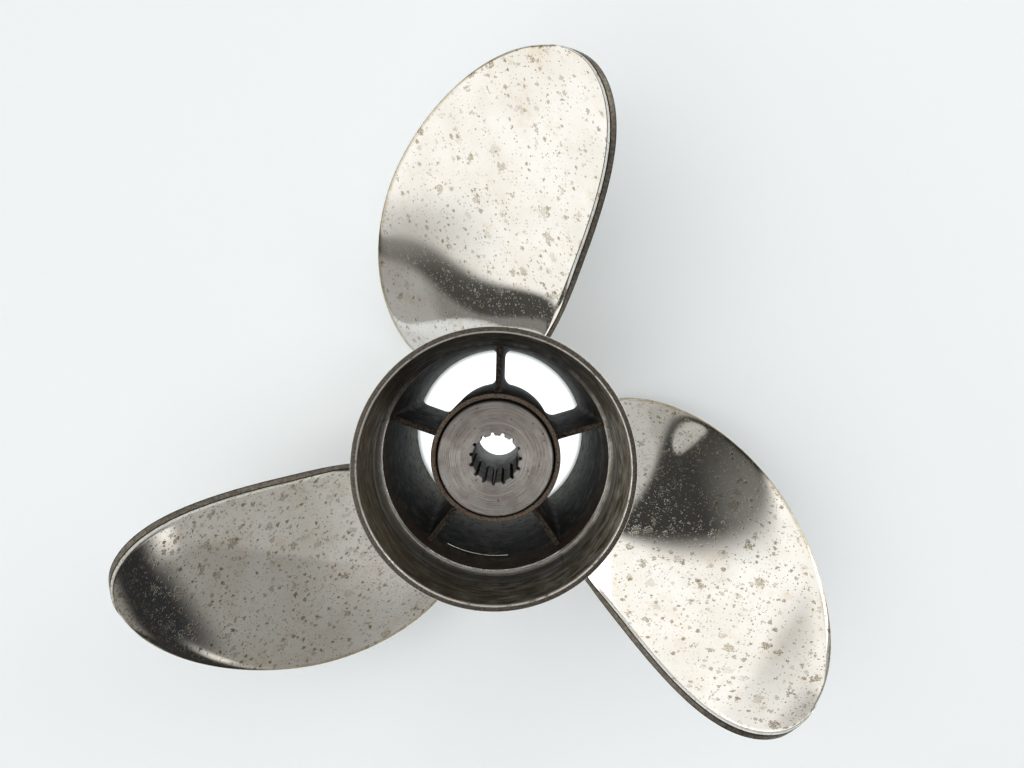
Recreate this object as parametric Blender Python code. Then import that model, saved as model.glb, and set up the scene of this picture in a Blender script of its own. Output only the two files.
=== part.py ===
# Through-hub exhaust boat propeller: a cast steel hub with three left-hand blades,
# carried by a splined drive sleeve in a rubber bushing. It stands on the front end of its barrel.
# +Z is the shaft axis and points aft, and the origin is where the axis meets the barrel's front end.
import math

import bmesh
import bpy
from mathutils import Vector

MM = 0.001
GAP = 0.3 * MM  # air left between neighbouring pieces
SEGMENTS = 72  # facets round a turned piece

# Barrel: the outer exhaust tube that carries the blades
BARREL_LENGTH = 105 * MM
BARREL_FRONT_RADIUS = 54.5 * MM
BARREL_REAR_RADIUS = 56.6 * MM
BARREL_FRONT_BORE = 50.3 * MM
BARREL_REAR_BORE = 53.6 * MM
BARREL_CHAMFER = 1.5 * MM

# Flared ring behind the barrel
HUB_LENGTH = 138.5 * MM  # front end of the barrel to the rear rim
FLARE_RADIUS = 60.8 * MM
FLARE_MOUTH_RADIUS = 58 * MM
FLARE_SEAT_RADIUS = 54.5 * MM  # a round seat turned into the ring, ending at a flat ledge
FLARE_SEAT_TOP = 119.5 * MM
FLARE_SEAT_FLOOR = 109 * MM
FLARE_LIP_RADIUS = 52.9 * MM
FLARE_LIP_CHAMFER = 0.6 * MM
RIM_ROUND = 0.8 * MM

# Inner hub, the tube that holds the bushing
INNER_HUB_FRONT = 9 * MM
INNER_HUB_REAR = 104.8 * MM
INNER_HUB_RADIUS = 30.5 * MM
INNER_HUB_BORE = 28 * MM
INNER_HUB_CHAMFER = 0.7 * MM

# Ribs between inner hub and barrel
RIB_COUNT = 5
RIB_FIRST_ANGLE = math.radians(88.3)
RIB_FRONT = 12 * MM
RIB_REAR = 94 * MM
RIB_FRONT_THICKNESS = 4.6 * MM
RIB_REAR_THICKNESS = 2.6 * MM
RIB_FRONT_FILLET = 4 * MM
RIB_REAR_FILLET = 1.2 * MM

# Drive sleeve: a splined steel tube with a round flange at its rear end
FLANGE_REAR = 107.5 * MM
FLANGE_THICKNESS = 6 * MM
FLANGE_RADIUS = 27 * MM
FLANGE_CHAMFER = 0.6 * MM
SLEEVE_FRONT = 9 * MM
SLEEVE_RADIUS = 17 * MM
SLEEVE_RELIEF_RADIUS = 12.7 * MM
SPLINE_COUNT = 15
SPLINE_LENGTH = 42 * MM
SPLINE_MINOR_RADIUS = 10.9 * MM
SPLINE_MAJOR_RADIUS = 12.35 * MM
SPLINE_FIRST_ANGLE = math.radians(1.2)
SPLINE_MOUTH_ANGLE = math.radians(5.4)  # half width of a groove at the bore
SPLINE_FLOOR_ANGLE = math.radians(3.0)  # half width of a groove at its floor

# Rubber bushing between drive sleeve and inner hub
BUSHING_FRONT = 16 * MM
BUSHING_REAR = 101 * MM
BUSHING_ROUND = 2 * MM

# Blades
BLADE_COUNT = 3
BLADE_ANGLE = math.radians(112.5)  # of the first blade's reference line
BLADE_REFERENCE_HEIGHT = 29.6 * MM  # where that line leaves the 60 mm radius
BLADE_PITCH = -418 * MM  # advance in one turn, negative for a left-hand screw
BLADE_TIP_RADIUS = 187.8 * MM
TIP_FLAT = 0.2 * MM  # taken off the very end, where the outline has no width
RAKE_START_RADIUS = 60 * MM
RAKE_TERMS = (0.057, 0.684, -0.34)  # rise of the reference line, by powers of 100 mm
RAKE_UNIT = 100 * MM

# The blade's outline, unrolled: a rounded oval whose long axis leans against the radius
OUTLINE_CENTRE_RADIUS = 112.7 * MM
OUTLINE_CENTRE_ALONG = -44.3 * MM
OUTLINE_HALF_LENGTH = 103.2 * MM
OUTLINE_HALF_WIDTH = 53.5 * MM
OUTLINE_LEAN = math.radians(-44.1)
OUTLINE_EXPONENT = 1.85
OUTLINE_TAPER = -0.4
OUTLINE_BULGE = 0.28
OUTLINE_BEND = -7.6 * MM
ROOT_EASE_RADIUS = 82 * MM  # below it the leading edge curves back onto the barrel
ROOT_EASE = 6 * MM

BLADE_ROOT_THICKNESS = 8.5 * MM
BLADE_TIP_THICKNESS = 3.4 * MM
LEADING_THICKNESS = 1.2 * MM
TRAILING_THICKNESS = 3.4 * MM
ROOT_FILLET = 7 * MM
CUP_WIDTH = 4.5 * MM  # the trailing edge curls aft over this width
CUP_HEIGHT = 1.7 * MM
CUP_START_RADIUS = 72 * MM
CUP_FULL_RADIUS = 105 * MM
CUP_FULL_CHORD = 70 * MM  # shorter chords, near the tip, are cupped less
CHORD_STEPS = 16
OUTLINE_STEPS = 720


def clear_scene():
    for item in list(bpy.data.objects):
        bpy.data.objects.remove(item, do_unlink=True)


def steel(name, colour, roughness, metallic=1.0):
    material = bpy.data.materials.new(name)
    material.use_nodes = True
    shader = material.node_tree.nodes["Principled BSDF"]
    shader.inputs["Base Color"].default_value = (*colour, 1)
    shader.inputs["Roughness"].default_value = roughness
    shader.inputs["Metallic"].default_value = metallic
    return material


def add_object(name, mesh, material, parent):
    data = bpy.data.meshes.new(name)
    mesh.to_mesh(data)
    mesh.free()
    data.shade_smooth()
    data.set_sharp_from_angle(angle=math.radians(35))
    piece = bpy.data.objects.new(name, data)
    if material:
        data.materials.append(material)
    bpy.context.scene.collection.objects.link(piece)
    piece.parent = parent
    return piece


# Spins a closed outline of (radius, height) points once round the shaft axis.
def turned(name, outline, material, parent):
    mesh = bmesh.new()
    points = [mesh.verts.new((radius, 0, height)) for radius, height in outline]
    edges = [mesh.edges.new((points[i - 1], points[i])) for i in range(len(points))]
    bmesh.ops.spin(mesh, geom=points + edges, axis=(0, 0, 1), cent=(0, 0, 0),
                   angle=math.tau, steps=SEGMENTS, use_merge=True)
    bmesh.ops.recalc_face_normals(mesh, faces=mesh.faces)
    return add_object(name, mesh, material, parent)


# Joins a list of point loops, each like the one before it, into a tube.
# A closed tube runs back to its first loop, and an open one gets a cap at each end.
def loft(loops, closed):
    mesh = bmesh.new()
    rings = [[mesh.verts.new(point) for point in loop] for loop in loops]
    pairs = list(zip(rings, rings[1:]))
    if closed:
        pairs.append((rings[-1], rings[0]))
    for lower, upper in pairs:
        for i in range(len(lower)):
            mesh.faces.new((lower[i - 1], lower[i], upper[i], upper[i - 1]))
    if not closed:
        mesh.faces.new(rings[0])
        mesh.faces.new(rings[-1])
    bmesh.ops.recalc_face_normals(mesh, faces=mesh.faces)
    return mesh


def blend(start, end, share):
    return start + (end - start) * share


# A rise from 0 to 1 between two values, level at both ends.
def ease(value, low, high):
    share = min(max((value - low) / (high - low), 0), 1)
    return share * share * (3 - 2 * share)


def barrel_radius(height):
    return blend(BARREL_FRONT_RADIUS, BARREL_REAR_RADIUS, height / BARREL_LENGTH)


def barrel_bore(height):
    return blend(BARREL_FRONT_BORE, BARREL_REAR_BORE, height / BARREL_LENGTH)


def make_barrel(material, parent):
    rear = BARREL_LENGTH - GAP
    outline = [
        (BARREL_FRONT_BORE + BARREL_CHAMFER, 0),
        (BARREL_FRONT_RADIUS - BARREL_CHAMFER / 2, 0),
        (BARREL_FRONT_RADIUS, BARREL_CHAMFER / 2),
        (barrel_radius(rear / 2), rear / 2),
        (barrel_radius(rear), rear),
        (barrel_bore(rear), rear),
        (barrel_bore(rear / 2), rear / 2),
        (BARREL_FRONT_BORE, BARREL_CHAMFER),
    ]
    return turned("barrel", outline, material, parent)


def make_flared_ring(material, parent):
    outer = []
    for step in range(5):
        share = step / 5
        height = blend(BARREL_LENGTH, HUB_LENGTH - RIM_ROUND, share)
        outer.append((blend(BARREL_REAR_RADIUS, FLARE_RADIUS, share ** 1.6), height))
    outline = outer + [
        (FLARE_RADIUS, HUB_LENGTH - RIM_ROUND),
        (FLARE_RADIUS - RIM_ROUND, HUB_LENGTH),
        (FLARE_MOUTH_RADIUS + RIM_ROUND / 2, HUB_LENGTH),
        (FLARE_MOUTH_RADIUS, HUB_LENGTH - RIM_ROUND / 2),
        (FLARE_SEAT_RADIUS, FLARE_SEAT_TOP),
        (FLARE_SEAT_RADIUS, FLARE_SEAT_FLOOR),
        (FLARE_LIP_RADIUS + FLARE_LIP_CHAMFER, FLARE_SEAT_FLOOR),
        (FLARE_LIP_RADIUS, FLARE_SEAT_FLOOR - FLARE_LIP_CHAMFER),
        (FLARE_LIP_RADIUS, BARREL_LENGTH),
    ]
    return turned("flared_ring", outline, material, parent)


def make_inner_hub(material, parent):
    outline = []
    for height, inward in ((INNER_HUB_FRONT, 1), (INNER_HUB_REAR, -1)):
        cut = INNER_HUB_CHAMFER
        corners = [
            (INNER_HUB_BORE, height + inward * cut),
            (INNER_HUB_BORE + cut, height),
            (INNER_HUB_RADIUS - cut, height),
            (INNER_HUB_RADIUS, height + inward * cut),
        ]
        outline += corners if inward > 0 else corners[::-1]
    return turned("inner_hub", outline, material, parent)


def make_bushing(material, parent):
    inner = SLEEVE_RADIUS + GAP
    outer = INNER_HUB_BORE - GAP
    outline = [
        (inner, BUSHING_FRONT),
        (outer - BUSHING_ROUND, BUSHING_FRONT),
        (outer, BUSHING_FRONT + BUSHING_ROUND),
        (outer, BUSHING_REAR - BUSHING_ROUND),
        (outer - BUSHING_ROUND, BUSHING_REAR),
        (inner, BUSHING_REAR),
    ]
    return turned("rubber_bushing", outline, material, parent)


# Angles round the sleeve with, for each, how far the spline groove is cut in, from 0 to 1.
def spline_pattern():
    pitch = math.tau / SPLINE_COUNT
    groove = [
        (-SPLINE_MOUTH_ANGLE, 0),
        (-SPLINE_FLOOR_ANGLE * 1.2, 0.75),
        (-SPLINE_FLOOR_ANGLE / 2, 1),
        (SPLINE_FLOOR_ANGLE / 2, 1),
        (SPLINE_FLOOR_ANGLE * 1.2, 0.75),
        (SPLINE_MOUTH_ANGLE, 0),
        (pitch / 2, 0),
    ]
    return [(SPLINE_FIRST_ANGLE + tooth * pitch + angle, depth)
            for tooth in range(SPLINE_COUNT) for angle, depth in groove]


def make_drive_sleeve(material, parent):
    pattern = spline_pattern()
    flange_front = FLANGE_REAR - FLANGE_THICKNESS
    spline_front = FLANGE_REAR - SPLINE_LENGTH

    def plain(radius, height):
        return [(radius * math.cos(angle), radius * math.sin(angle), height) for angle, depth in pattern]

    def splined(height, spread):
        radii = [blend(SPLINE_MINOR_RADIUS, SPLINE_MAJOR_RADIUS, depth) + spread for angle, depth in pattern]
        return [(radius * math.cos(angle), radius * math.sin(angle), height)
                for radius, (angle, depth) in zip(radii, pattern)]

    loops = [
        plain(SLEEVE_RELIEF_RADIUS + FLANGE_CHAMFER, SLEEVE_FRONT),
        plain(SLEEVE_RADIUS - FLANGE_CHAMFER, SLEEVE_FRONT),
        plain(SLEEVE_RADIUS, SLEEVE_FRONT + FLANGE_CHAMFER),
        plain(SLEEVE_RADIUS, flange_front),
        plain(FLANGE_RADIUS, flange_front),
        plain(FLANGE_RADIUS, FLANGE_REAR - FLANGE_CHAMFER),
        plain(FLANGE_RADIUS - FLANGE_CHAMFER, FLANGE_REAR),
        splined(FLANGE_REAR, FLANGE_CHAMFER / 2),
        splined(FLANGE_REAR - FLANGE_CHAMFER / 2, 0),
        splined(spline_front, 0),
        plain(SLEEVE_RELIEF_RADIUS, spline_front - FLANGE_CHAMFER / 2),
        plain(SLEEVE_RELIEF_RADIUS, SLEEVE_FRONT + FLANGE_CHAMFER),
    ]
    return add_object("drive_sleeve", loft(loops, closed=True), material, parent)


# A rib's section at one height: a bar along +X that widens at both ends, where fillets meet
# the inner hub and the barrel. Its ends follow the two round walls.
def rib_level(height, thickness, fillet):
    inner = INNER_HUB_RADIUS + GAP
    outer = barrel_bore(height) - GAP
    shares = (0, 0.15, 0.45, 1)
    widths = [thickness / 2 + fillet * (1 - math.sqrt(share * (2 - share))) for share in shares]
    side = [(inner + fillet * share, width) for share, width in zip(shares, widths)]
    side += [(outer - fillet * share, width) for share, width in zip(shares[::-1], widths[::-1])]
    end_widths = [widths[0] * share for share in (0.5, 0, -0.5)]
    ring = side + [(outer, width) for width in end_widths]
    ring += [(radius, -width) for radius, width in side[::-1]]
    ring += [(inner, -width) for width in end_widths]
    return [(math.sqrt(radius * radius - width * width), width, height) for radius, width in ring]


def make_rib(number, material, parent):
    levels = (
        (RIB_FRONT, RIB_FRONT_THICKNESS * 0.6, RIB_FRONT_FILLET),
        (RIB_FRONT + RIB_FRONT_THICKNESS / 2, RIB_FRONT_THICKNESS, RIB_FRONT_FILLET),
        (RIB_REAR - RIB_REAR_THICKNESS / 2, RIB_REAR_THICKNESS, RIB_REAR_FILLET),
        (RIB_REAR, RIB_REAR_THICKNESS * 0.6, RIB_REAR_FILLET),
    )
    mesh = loft([rib_level(height, thickness, fillet) for height, thickness, fillet in levels], closed=False)
    rib = add_object(f"rib_{number + 1}", mesh, material, parent)
    rib.rotation_euler.z = RIB_FIRST_ANGLE + number * math.tau / RIB_COUNT
    return rib


# The outline at one turn angle, as radius and distance along the helix.
def outline_point(turn):
    power = 2 / OUTLINE_EXPONENT
    a = math.copysign(abs(math.cos(turn)) ** power, math.cos(turn))
    b = math.copysign(abs(math.sin(turn)) ** power, math.sin(turn))
    length = OUTLINE_HALF_LENGTH * a
    width = OUTLINE_HALF_WIDTH * b * (1 + OUTLINE_TAPER * a + OUTLINE_BULGE * a * a) + OUTLINE_BEND * a * a
    radius = OUTLINE_CENTRE_RADIUS + length * math.cos(OUTLINE_LEAN) - width * math.sin(OUTLINE_LEAN)
    along = OUTLINE_CENTRE_ALONG + length * math.sin(OUTLINE_LEAN) + width * math.cos(OUTLINE_LEAN)
    return radius, along


# Where the outline crosses a radius: the leading edge first, then the trailing edge.
def blade_edges(radius, outline):
    crossings = []
    for (r1, a1), (r2, a2) in zip(outline, outline[1:] + outline[:1]):
        if (r1 - radius) * (r2 - radius) < 0:
            crossings.append(blend(a1, a2, (radius - r1) / (r2 - r1)))
    leading = max(crossings)
    if radius < ROOT_EASE_RADIUS:
        share = (ROOT_EASE_RADIUS - radius) / (ROOT_EASE_RADIUS - BARREL_FRONT_RADIUS)
        leading -= ROOT_EASE * share * share
    return leading, min(crossings)


# A point of the blade's middle surface.
def helix_point(radius, along):
    lead = math.atan(BLADE_PITCH / (math.tau * radius))
    angle = BLADE_ANGLE + along * math.cos(lead) / radius
    reach = (radius - RAKE_START_RADIUS) / RAKE_UNIT
    rake = RAKE_UNIT * sum(term * reach ** (power + 1) for power, term in enumerate(RAKE_TERMS))
    height = BLADE_REFERENCE_HEIGHT + rake + along * math.sin(lead)
    return Vector((radius * math.cos(angle), radius * math.sin(angle), height))


# The middle surface with its cup, a curl towards the aft side near the trailing edge.
def cupped_point(radius, along, trailing, cup):
    step = 0.1 * MM
    outward = helix_point(radius + step, along) - helix_point(radius - step, along)
    forward = helix_point(radius, along + step) - helix_point(radius, along - step)
    curl = max(0, 1 - (along - trailing) / CUP_WIDTH)
    return helix_point(radius, along) + outward.cross(forward).normalized() * cup * curl * curl


# That surface's normal, on the side that faces aft.
def cupped_normal(radius, along, trailing, cup):
    step = 0.1 * MM
    outward = helix_point(radius + step, along) - helix_point(radius - step, along)
    forward = (cupped_point(radius, along + step, trailing, cup)
               - cupped_point(radius, along - step, trailing, cup))
    return outward.cross(forward).normalized()


def root_fillet(radius):
    depth = radius - BARREL_REAR_RADIUS
    if depth >= ROOT_FILLET:
        return 0
    depth = max(depth, 0)
    return ROOT_FILLET - math.sqrt(ROOT_FILLET ** 2 - (ROOT_FILLET - depth) ** 2)


# Half the blade's thickness at a radius and a share of the chord, 0 at the leading edge.
def half_thickness(radius, share):
    reach = (radius - BARREL_FRONT_RADIUS) / (BLADE_TIP_RADIUS - BARREL_FRONT_RADIUS)
    middle = blend(BLADE_ROOT_THICKNESS, BLADE_TIP_THICKNESS, min(max(reach, 0), 1) ** 0.8)
    edge = blend(LEADING_THICKNESS, TRAILING_THICKNESS, share)
    swell = (4 * share * (1 - share)) ** 0.7
    return blend(edge, max(middle, edge), swell) / 2 + root_fillet(radius) * min(1, 3 * swell)


def blade_section(radius, outline):
    leading, trailing = blade_edges(radius, outline)
    cup = CUP_HEIGHT * ease(radius, CUP_START_RADIUS, CUP_FULL_RADIUS)
    cup *= min(1, (leading - trailing) / CUP_FULL_CHORD)
    aft_side = []
    front_side = []
    for step in range(CHORD_STEPS + 1):
        share = (1 - math.cos(math.pi * step / CHORD_STEPS)) / 2
        along = blend(leading, trailing, share)
        middle = cupped_point(radius, along, trailing, cup)
        normal = cupped_normal(radius, along, trailing, cup)
        half = half_thickness(radius, share)
        aft_side.append(middle + normal * half)
        front_side.append(middle - normal * half)
    return aft_side + front_side[::-1]


def blade_radii():
    root = [51.5 * MM, BARREL_REAR_RADIUS, BARREL_REAR_RADIUS + ROOT_FILLET * 0.12]
    root += [BARREL_REAR_RADIUS + ROOT_FILLET * share for share in (0.4, 1)]
    first = root[-1]
    steps = 15
    span = [blend(first, BLADE_TIP_RADIUS, math.sin(math.pi / 2 * step / steps)) for step in range(1, steps)]
    return root + span + [BLADE_TIP_RADIUS - TIP_FLAT]


def make_blades(cutter, material, parent):
    outline = [outline_point(math.tau * step / OUTLINE_STEPS) for step in range(OUTLINE_STEPS)]
    for number in range(BLADE_COUNT):
        mesh = loft([blade_section(radius, outline) for radius in blade_radii()], closed=False)
        blade = add_object(f"blade_{number + 1}", mesh, material, parent)
        blade.rotation_euler.z = number * math.tau / BLADE_COUNT
        cut = blade.modifiers.new("meets barrel", "BOOLEAN")
        cut.operation = "DIFFERENCE"
        cut.solver = "EXACT"
        cut.object = cutter


# The barrel's outside with the gap added, which trims the blades' roots.
def make_root_cutter(parent):
    margin = 20 * MM
    low = -margin
    high = BARREL_LENGTH + margin
    outline = [
        (INNER_HUB_RADIUS, low),
        (barrel_radius(low) + GAP, low),
        (barrel_radius(high) + GAP, high),
        (INNER_HUB_RADIUS, high),
    ]
    cutter = turned("root_cutter", outline, None, parent)
    cutter.hide_render = True
    cutter.display_type = "WIRE"
    return cutter


def main():
    clear_scene()
    axis = bpy.data.objects.new("shaft_axis", None)
    bpy.context.scene.collection.objects.link(axis)
    polished = steel("polished stainless", (0.72, 0.70, 0.66), 0.22)
    cast = steel("rough cast stainless", (0.16, 0.15, 0.14), 0.6)
    machined = steel("machined steel", (0.45, 0.42, 0.39), 0.38)
    rubber = steel("black rubber", (0.03, 0.03, 0.03), 0.8, metallic=0.0)

    make_barrel(cast, axis)
    make_flared_ring(polished, axis)
    make_inner_hub(cast, axis)
    make_bushing(rubber, axis)
    make_drive_sleeve(machined, axis)
    for number in range(RIB_COUNT):
        make_rib(number, cast, axis)
    make_blades(make_root_cutter(axis), polished, axis)


main()
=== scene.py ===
import math

import bmesh
import bpy
from mathutils import Matrix, Vector


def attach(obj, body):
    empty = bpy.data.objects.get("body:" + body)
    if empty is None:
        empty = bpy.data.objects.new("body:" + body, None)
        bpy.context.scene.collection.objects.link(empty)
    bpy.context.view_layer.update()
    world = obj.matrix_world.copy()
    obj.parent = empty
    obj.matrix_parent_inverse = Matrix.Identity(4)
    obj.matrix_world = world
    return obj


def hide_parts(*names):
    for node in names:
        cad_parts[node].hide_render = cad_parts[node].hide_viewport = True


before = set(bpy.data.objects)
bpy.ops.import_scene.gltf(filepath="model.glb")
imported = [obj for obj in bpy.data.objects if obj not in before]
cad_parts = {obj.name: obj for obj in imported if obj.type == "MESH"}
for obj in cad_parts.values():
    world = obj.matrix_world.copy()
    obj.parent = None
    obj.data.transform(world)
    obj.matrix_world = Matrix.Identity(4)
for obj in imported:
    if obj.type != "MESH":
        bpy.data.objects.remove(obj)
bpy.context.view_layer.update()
mm = 0.001
print("frame loaded")


# small tools

# a dictionary whose values are read by name, as in barrel.length
class Settings(dict):
    __getattr__ = dict.__getitem__


meshing = Settings(
    turnedSteps=256, bevelSegments=3, sharpAngle=35, outside=0.3,
    merge=1e-6, near=1e-5,  # in metres
)


def blend(start, end, share):
    return start + (end - start) * share


def ease(value, low, high):
    share = min(max((value - low) / (high - low), 0), 1)
    return share * share * (3 - 2 * share)


def addObject(name, data):
    item = bpy.data.objects.new(name, data)
    bpy.context.scene.collection.objects.link(item)
    return item


def addMesh(name, bm, materials):
    data = bpy.data.meshes.new(name)
    bm.to_mesh(data)
    bm.free()
    for material in materials:
        data.materials.append(material)
    return addObject(name, data)


def finishPiece(name, bm, materials, nodes, sharpAngle=meshing.sharpAngle):
    piece = addMesh(name, bm, materials)
    piece.data.shade_smooth()
    piece.data.set_sharp_from_angle(angle=math.radians(sharpAngle))
    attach(piece, "root")
    if nodes:
        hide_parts(*nodes)
    return piece


# gives the faces that look away from the shaft the piece's second material
def polishOutside(bm):
    for face in bm.faces:
        away = face.calc_center_median()
        away.z = 0
        if face.normal.dot(away.normalized()) > meshing.outside:
            face.material_index = 1


def roundEdges(bm, edges, size):
    bmesh.ops.bevel(bm, geom=edges, offset=size * mm, segments=meshing.bevelSegments, profile=0.5,
                    affect="EDGES", material=-1, clamp_overlap=True)


# spins a closed outline of (radius, height) in mm round the shaft, then rounds the corners named in rounding
def turnedPiece(outline, steps=meshing.turnedSteps, rounding=()):
    bm = bmesh.new()
    points = [bm.verts.new((radius * mm, 0, height * mm)) for radius, height in outline]
    edges = [bm.edges.new((points[i - 1], points[i])) for i in range(len(points))]
    bmesh.ops.spin(bm, geom=points + edges, axis=(0, 0, 1), cent=(0, 0, 0),
                   angle=math.tau, steps=steps, use_merge=True)
    bmesh.ops.remove_doubles(bm, verts=bm.verts, dist=meshing.merge)
    for corner, size in rounding:
        radius, height = outline[corner]
        ringEdges = [edge for edge in bm.edges if all(
            abs(v.co.z - height * mm) < meshing.near and
            abs(v.co.xy.length - radius * mm) < meshing.near for v in edge.verts)]
        roundEdges(bm, ringEdges, size)
    bmesh.ops.recalc_face_normals(bm, faces=bm.faces)
    return bm


# shader helpers

def newMaterial(name):
    material = bpy.data.materials.new(name)
    material.use_nodes = True
    tree = material.node_tree
    return material, tree, tree.nodes["Principled BSDF"]


# sets each input to a value, or links it when a socket is given for it
def feed(tree, node, inputs):
    for key, value in inputs.items():
        if isinstance(value, bpy.types.NodeSocket):
            tree.links.new(value, node.inputs[key])
        else:
            node.inputs[key].default_value = value


# adds a node and gives back one of its outputs
def addNode(tree, kind, inputs=None, out=0, **settings):
    node = tree.nodes.new("ShaderNode" + kind)
    for key, value in settings.items():
        setattr(node, key, value)
    feed(tree, node, inputs or {})
    return node.outputs[out]


def calc(tree, operation, first, second=0.0, third=0.0):
    return addNode(tree, "Math", {0: first, 1: second, 2: third}, operation=operation)


def times(tree, first, second):
    return calc(tree, "MULTIPLY", first, second)


def larger(tree, first, second):
    return calc(tree, "MAXIMUM", first, second)


# value times a factor, with a second value added
def scaled(tree, value, factor, added):
    return calc(tree, "MULTIPLY_ADD", value, factor, added)


def vectorCalc(tree, operation, first, second, out=0):
    return addNode(tree, "VectorMath", {0: first, 1: second}, out=out, operation=operation)


def lengthOf(tree, vector):
    return vectorCalc(tree, "LENGTH", vector, (0, 0, 0), out="Value")


def splitUp(tree, vector):
    return addNode(tree, "SeparateXYZ", {0: vector}).node.outputs


def joinUp(tree, x, y, z=0.0):
    return addNode(tree, "CombineXYZ", {0: x, 1: y, 2: z})


def mix(tree, share, first, second):
    pair = {key: value if isinstance(value, bpy.types.NodeSocket) else (*value, 1)
            for key, value in (("A", first), ("B", second))}
    return addNode(tree, "Mix", {"Factor": share, **pair}, out="Result", data_type="RGBA")


def mixValue(tree, share, first, second):
    return addNode(tree, "Mix", {"Factor": share, "A": first, "B": second}, out="Result")


# a smooth step of value between two limits
def step(tree, value, low, high, start=0.0, end=1.0):
    return addNode(tree, "MapRange", {
        "Value": value, "From Min": low, "From Max": high, "To Min": start, "To Max": end},
        interpolation_type="SMOOTHSTEP")


def noise(tree, place, size, detail=3.0, roughness=0.55):
    return addNode(tree, "TexNoise", {
        "Vector": place, "Scale": 1 / size, "Detail": detail, "Roughness": roughness})


# Noise cut to patches with a soft edge. Setting holds size in mm, detail, roughness, the edge's two limits,
# and the strengths outside and inside where these aren't 0 and 1.
def patchy(tree, place, setting):
    return step(tree, noise(tree, place, *setting[:3]), *setting[3:])


# the surface point in mm
def placeInMm(tree):
    point = addNode(tree, "TexCoord", out="Object")
    return addNode(tree, "VectorMath", {0: point, "Scale": 1 / mm}, operation="SCALE")


def shaftDistance(tree, place):
    return lengthOf(tree, vectorCalc(tree, "MULTIPLY", place, (1, 1, 0)))


# setting holds the strength and the depth in mm
def bump(tree, setting, height):
    strength, depth = setting
    return addNode(tree, "Bump", {"Strength": strength, "Distance": depth * mm, "Height": height})


def newGroup(name, inputs, outputs):
    group = bpy.data.node_groups.new(name, "ShaderNodeTree")
    for label, kind, value in inputs:
        socket = group.interface.new_socket(label, in_out="INPUT", socket_type="NodeSocket" + kind)
        if value is not None:
            socket.default_value = value
    for label in outputs:
        group.interface.new_socket(label, in_out="OUTPUT", socket_type="NodeSocketFloat")
    return group, group.nodes.new("NodeGroupInput").outputs, group.nodes.new("NodeGroupOutput").inputs


def useGroup(tree, group, **values):
    node = tree.nodes.new("ShaderNodeGroup")
    node.node_tree = group
    feed(tree, node, values)
    return node.outputs


# Scattered ragged spots. Cell is their spacing, Radius the largest one, Kept the share of cells with a spot.

spots = Settings(
    shakeScale=1.1, shakeDetail=3.0, shakeRoughness=0.65, shakeReach=4.0,
    smallest=0.25,  # as a share of the largest
    edge=(1.15, 0.8), rim=(0.45, 0.8),  # in radii of the spot
)


def makeSpotsGroup(name, dimensions):
    group, given, wanted = newGroup(name, [
        ("Place", "Vector", None), ("Cell", "Float", 3.0), ("Radius", "Float", 0.5), ("Kept", "Float", 0.5),
        ("Ragged", "Float", 0.2)], ["Mask", "Rim", "Tone"])
    shake = addNode(group, "TexNoise", {
        "Vector": given["Place"], "Scale": calc(group, "DIVIDE", spots.shakeScale, given["Radius"]),
        "Detail": spots.shakeDetail, "Roughness": spots.shakeRoughness}, out="Color")
    shakeSize = times(group, given["Ragged"], times(group, given["Radius"], spots.shakeReach))
    shake = addNode(group, "VectorMath", {
        0: vectorCalc(group, "SUBTRACT", shake, (0.5, 0.5, 0.5)), "Scale": shakeSize}, operation="SCALE")
    cells = addNode(group, "TexVoronoi", {
        "Vector": vectorCalc(group, "ADD", given["Place"], shake),
        "Scale": calc(group, "DIVIDE", 1.0, given["Cell"])}, voronoi_dimensions=dimensions).node.outputs
    chance = addNode(group, "SeparateColor", {0: cells["Color"]}).node.outputs
    kept = calc(group, "LESS_THAN", chance[0], given["Kept"])
    share = scaled(group, calc(group, "POWER", chance[1], 2.0), 1 - spots.smallest, spots.smallest)
    reach = times(group, cells["Distance"], given["Cell"])
    reach = calc(group, "DIVIDE", reach, times(group, given["Radius"], share))
    mask = times(group, step(group, reach, *spots.edge), kept)
    rim = times(group, mask, step(group, reach, *spots.rim))
    for key, value in (("Mask", mask), ("Rim", rim), ("Tone", chance[2])):
        group.links.new(value, wanted[key])
    return group


# Fine straight hairlines that cross a surface in one direction and come and go.

hairlines = Settings(detail=1.0, roughness=0.5, edge=(0.62, 0.78))


def makeHairlinesGroup():
    group, given, wanted = newGroup("hairlines", [
        ("Place", "Vector", None), ("Turn", "Float", 0.0), ("Width", "Float", 0.15),
        ("Length", "Float", 30.0)], ["Mask"])
    turned = addNode(group, "VectorRotate", {"Vector": given["Place"], "Angle": given["Turn"]},
                     rotation_type="Z_AXIS")
    parts = splitUp(group, turned)
    stretched = joinUp(group, *(calc(group, "DIVIDE", parts[k], given[key])
                                for k, key in enumerate(("Length", "Width", "Length"))))
    value = noise(group, stretched, 1.0, hairlines.detail, hairlines.roughness)
    group.links.new(step(group, value, *hairlines.edge), wanted["Mask"])
    return group


# Cast skin: coarse lumps, fine grain and small holes, as a height and a mask of the darker hollows.

castSkin = Settings(
    lumpDetail=4.0, lumpRoughness=0.6, grain=(0.7, 2.0), grainHeight=0.35, holeHeight=-0.25,
    holes=(2.6, 0.8, 0.5, 0.4), hollow=(0.52, 0.36),
)


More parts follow.
